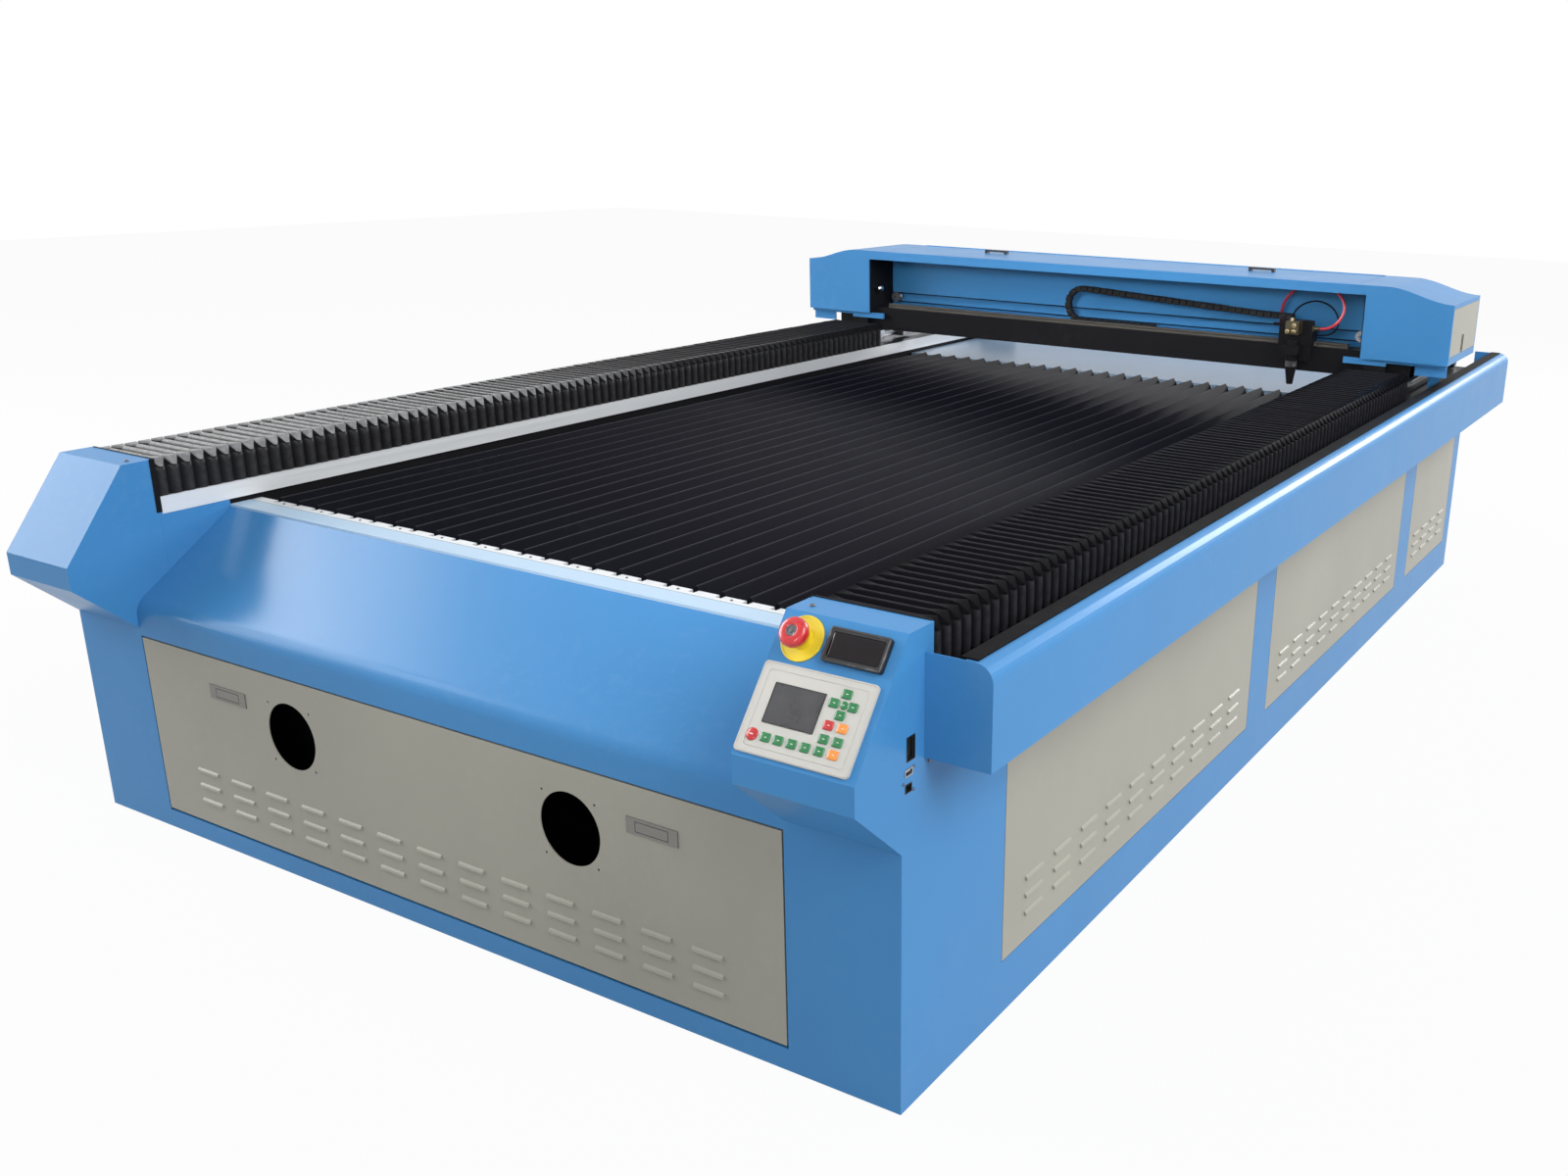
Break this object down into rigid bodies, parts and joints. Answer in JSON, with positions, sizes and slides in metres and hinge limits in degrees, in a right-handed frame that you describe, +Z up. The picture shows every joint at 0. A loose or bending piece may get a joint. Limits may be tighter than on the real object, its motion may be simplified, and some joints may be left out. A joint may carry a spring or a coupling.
{
  "type": "flatbed laser cutting machine",
  "caption": "Flatbed laser cutting machine: blue cabinet with a slatted bed, pleated rail covers, a sliding gantry with a laser head, two front consoles and a side cable trough.",
  "frame": {"origin": "middle of the body's footprint on the floor", "axes": "+X to the right seen from the front, +Y from the front to the back, +Z up"},
  "size_m": [1.988, 3.306, 0.91],
  "materials": {
    "blue_paint": "semi-gloss powder coat",
    "beige_paint": "satin powder coat",
    "black_paint": "satin",
    "aluminium": "brushed",
    "steel": "ground",
    "pale_plate": "satin",
    "bellows_cloth": "coated cloth",
    "rubber": "matt",
    "chain_plastic": "moulded",
    "keypad_plastic": "moulded",
    "key_plastic": "domed",
    "screen_glass": "smooth",
    "meter_plastic": "smooth",
    "stop_yellow": "moulded",
    "stop_red": "moulded",
    "brass": "turned",
    "tube_glass": "clear",
    "hose_plastic": "clear red",
    "grey_case": "satin"
  },
  "bodies": {
    "machine": {"base_frame": "black_paint", "front_cabinet": "blue_paint", "apron": "blue_paint", "console_left": "blue_paint", "console_right": "blue_paint", "wall_left": "blue_paint", "wall_right": "blue_paint", "rear_wall": "blue_paint", "panels_left": "beige_paint", "panels_right": "beige_paint", "cable_trough": "blue_paint", "trough_strip": "rubber", "trough_chain": "chain_plastic", "bed_strips": "aluminium", "slats": "black_paint", "rear_table": "pale_plate", "scrap_tray": "black_paint", "rail_beams": "blue_paint", "long_rails": "steel", "bellows_left": "bellows_cloth", "bellows_right": "bellows_cloth", "keypad": "keypad_plastic", "keypad_keys": "key_plastic", "keypad_screen": "screen_glass", "panel_meter": "meter_plastic", "stop_base": "stop_yellow", "side_ports": "meter_plastic", "long_motor": "black_paint", "long_belts": "rubber", "electronics": "grey_case"},
    "door": {"front_door": "beige_paint", "latch_cases": "steel"},
    "left_paddle": {"latch_left": "steel"},
    "right_paddle": {"latch_right": "steel"},
    "stop": {"stop_button": "stop_red"},
    "shaft": {"drive_shaft": "steel"},
    "idlers": {"belt_idlers": "steel"},
    "gantry": {"cross_beam": "black_paint", "cross_rail": "steel", "back_panel": "blue_paint", "hood": "blue_paint", "end_box_left": "blue_paint", "end_box_right": "blue_paint", "end_covers": "beige_paint", "inner_plates": "black_paint", "foot_plates": "blue_paint", "rail_carriages": "steel", "cross_motor": "black_paint", "cross_belt": "rubber", "laser_tube": "tube_glass", "tube_mounts": "black_paint", "beam_chain": "chain_plastic"},
    "cross_drive": {"drive_pulley": "steel"},
    "cross_idler": {"idler_pulley": "steel"},
    "lid": {"hood_lid": "blue_paint", "lid_handles": "meter_plastic"},
    "head": {"head_carriage": "black_paint", "head_mirror": "brass", "air_hose": "hose_plastic"},
    "lens": {"lens_tube": "black_paint"}
  },
  "joints": [
    {"name": "gantry_slide", "type": "slide", "parent": "machine", "child": "gantry", "axis": [0, 1, 0], "range_m": [-2.05, 0], "deforming": ["bellows_left", "bellows_right", "trough_chain"]},
    {"name": "head_slide", "type": "slide", "parent": "gantry", "child": "head", "axis": [1, 0, 0], "range_m": [-1.17, 0], "deforming": ["beam_chain"]},
    {"name": "focus_slide", "type": "slide", "parent": "head", "child": "lens", "axis": [0, 0, 1], "range_m": [-0.03, 0.008]},
    {"name": "door_hinge", "type": "hinge", "parent": "machine", "child": "door", "pos_m": [0, -1.557, 0.048], "axis": [1, 0, 0], "range_deg": [0, 85]},
    {"name": "left_latch", "type": "hinge", "parent": "door", "child": "left_paddle", "pos_m": [-0.495, -1.5645, 0.308], "axis": [0, 0, -1], "range_deg": [0, 25], "stiffness_Nm_per_rad": 0.1},
    {"name": "right_latch", "type": "hinge", "parent": "door", "child": "right_paddle", "pos_m": [0.465, -1.5645, 0.308], "axis": [0, 0, -1], "range_deg": [0, 25], "stiffness_Nm_per_rad": 0.1},
    {"name": "stop_press", "type": "slide", "parent": "machine", "child": "stop", "axis": [0, 0.7945, -0.6073], "range_m": [0, 0.004], "stiffness_N_per_m": 1500},
    {"name": "lid_hinge", "type": "hinge", "parent": "gantry", "child": "lid", "pos_m": [0, 1.134, 0.89797], "axis": [-1, 0, 0], "range_deg": [0, 75]},
    {"name": "shaft_spin", "type": "hinge", "parent": "machine", "child": "shaft", "pos_m": [0, 1.515, 0.63197], "axis": [-1, 0, 0], "range_deg": [-7900, 100]},
    {"name": "idler_spin", "type": "hinge", "parent": "machine", "child": "idlers", "pos_m": [0, -1.455, 0.63197], "axis": [-1, 0, 0], "range_deg": [-7900, 100]},
    {"name": "cross_drive_spin", "type": "hinge", "parent": "gantry", "child": "cross_drive", "pos_m": [-0.735, 0.959, 0.75497], "axis": [0, 1, 0], "range_deg": [-5300, 300]},
    {"name": "cross_idler_spin", "type": "hinge", "parent": "gantry", "child": "cross_idler", "pos_m": [0.735, 0.959, 0.75497], "axis": [0, 1, 0], "range_deg": [-5300, 300]}
  ],
  "couplings": [
    {"joint": "shaft_spin", "follows": "gantry_slide", "rad_per_m": 66.225},
    {"joint": "idler_spin", "follows": "gantry_slide", "rad_per_m": 66.225},
    {"joint": "cross_drive_spin", "follows": "head_slide", "rad_per_m": 76.336},
    {"joint": "cross_idler_spin", "follows": "head_slide", "rad_per_m": 76.336}
  ]
}
